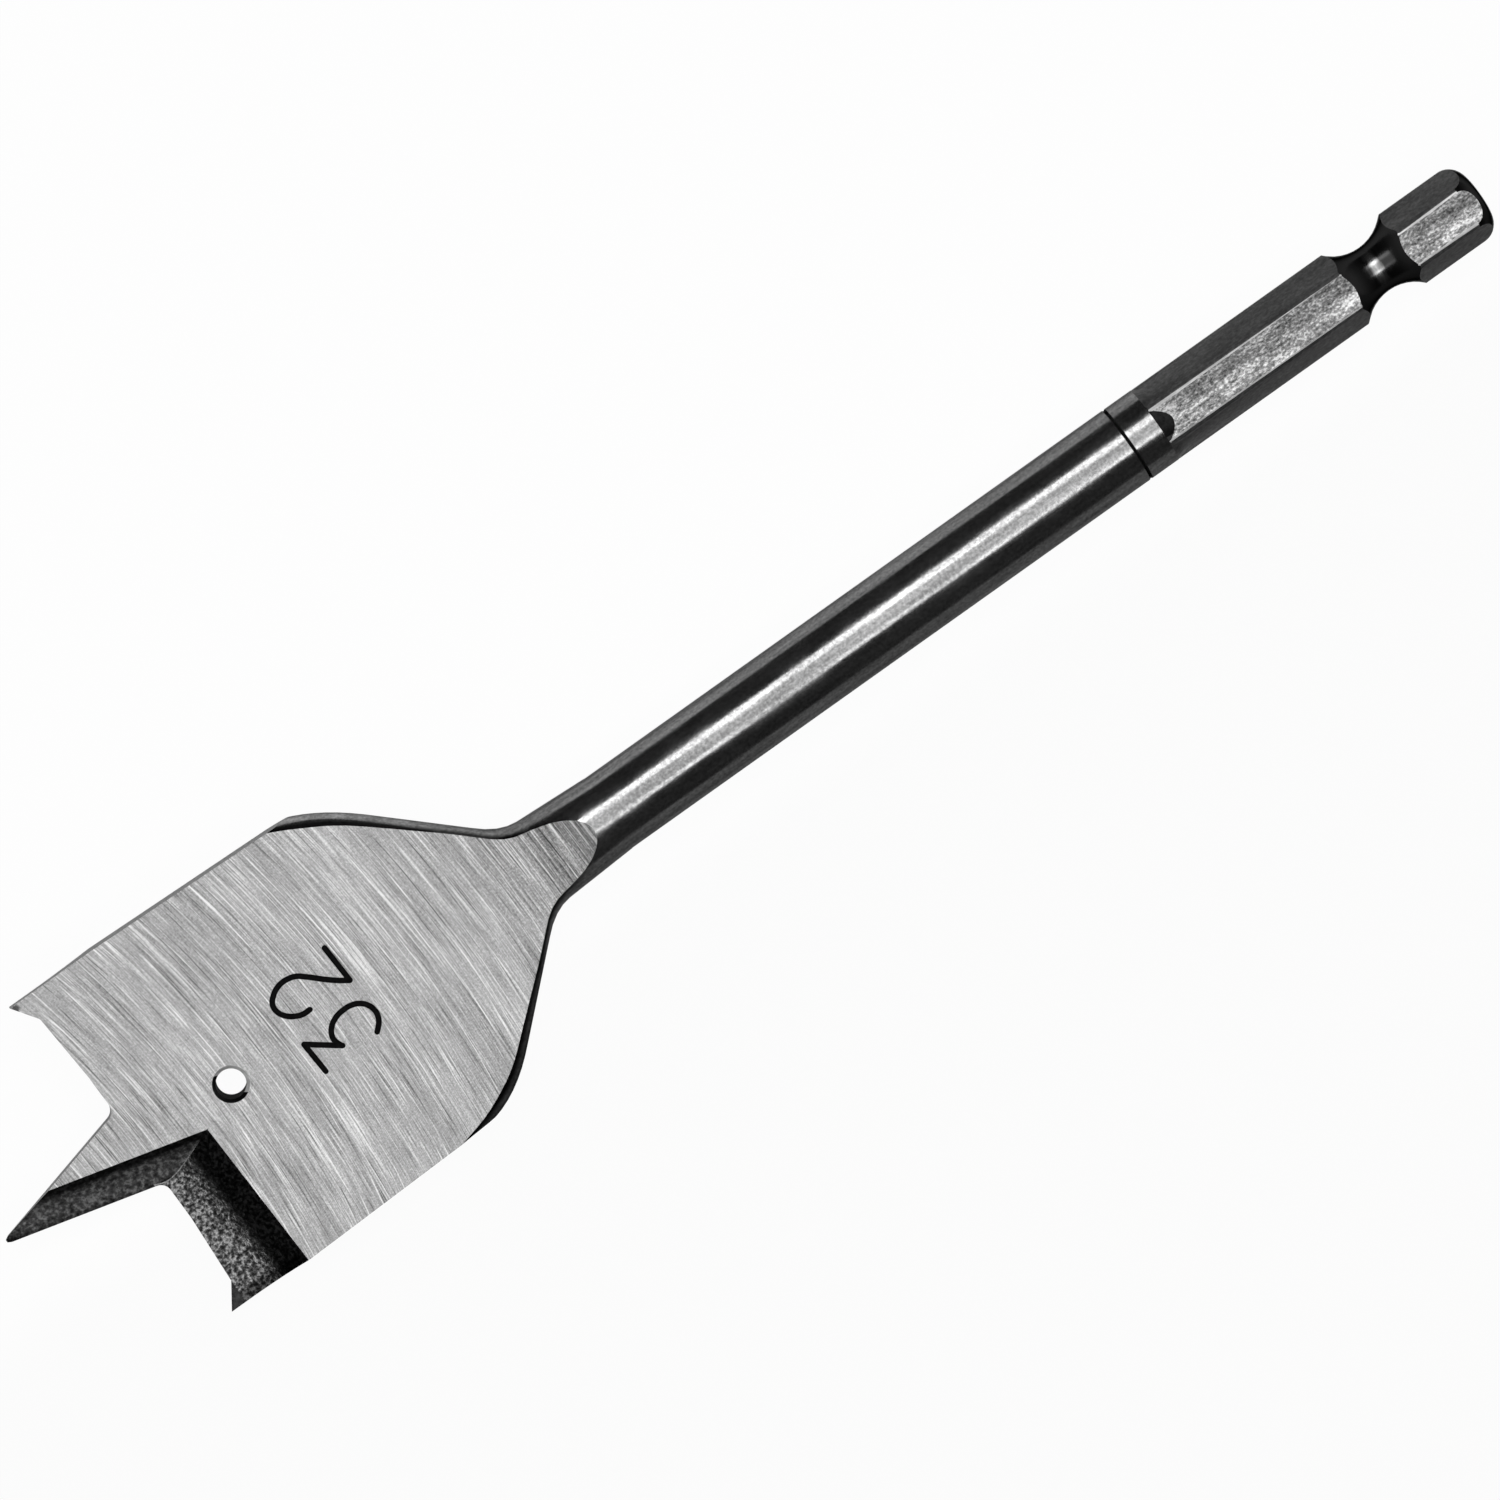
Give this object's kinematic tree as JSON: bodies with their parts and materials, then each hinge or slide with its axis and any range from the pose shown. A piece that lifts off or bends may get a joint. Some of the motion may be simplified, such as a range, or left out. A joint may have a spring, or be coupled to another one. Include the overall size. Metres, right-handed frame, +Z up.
{
  "type": "spade drill bit",
  "caption": "Flat spade drill bit with a centre point, spurred lips with hollow-ground rakes, a hang hole, a round shaft and a hexagonal shank with a detent groove.",
  "frame": {"origin": "centre of the shank end, on the axis of the bit", "axes": "+X along the axis from the shank end to the point, +Z up with the bit lying at rest on its shaft and on the edge of the +Y wing"},
  "size_m": [0.152, 0.0322, 0.0072],
  "materials": {
    "steel": "ground bright on the blade faces, dark and satin on the shaft, shank and forged edges"
  },
  "bodies": {
    "root": {"spade_bit": "steel"}
  },
  "joints": []
}
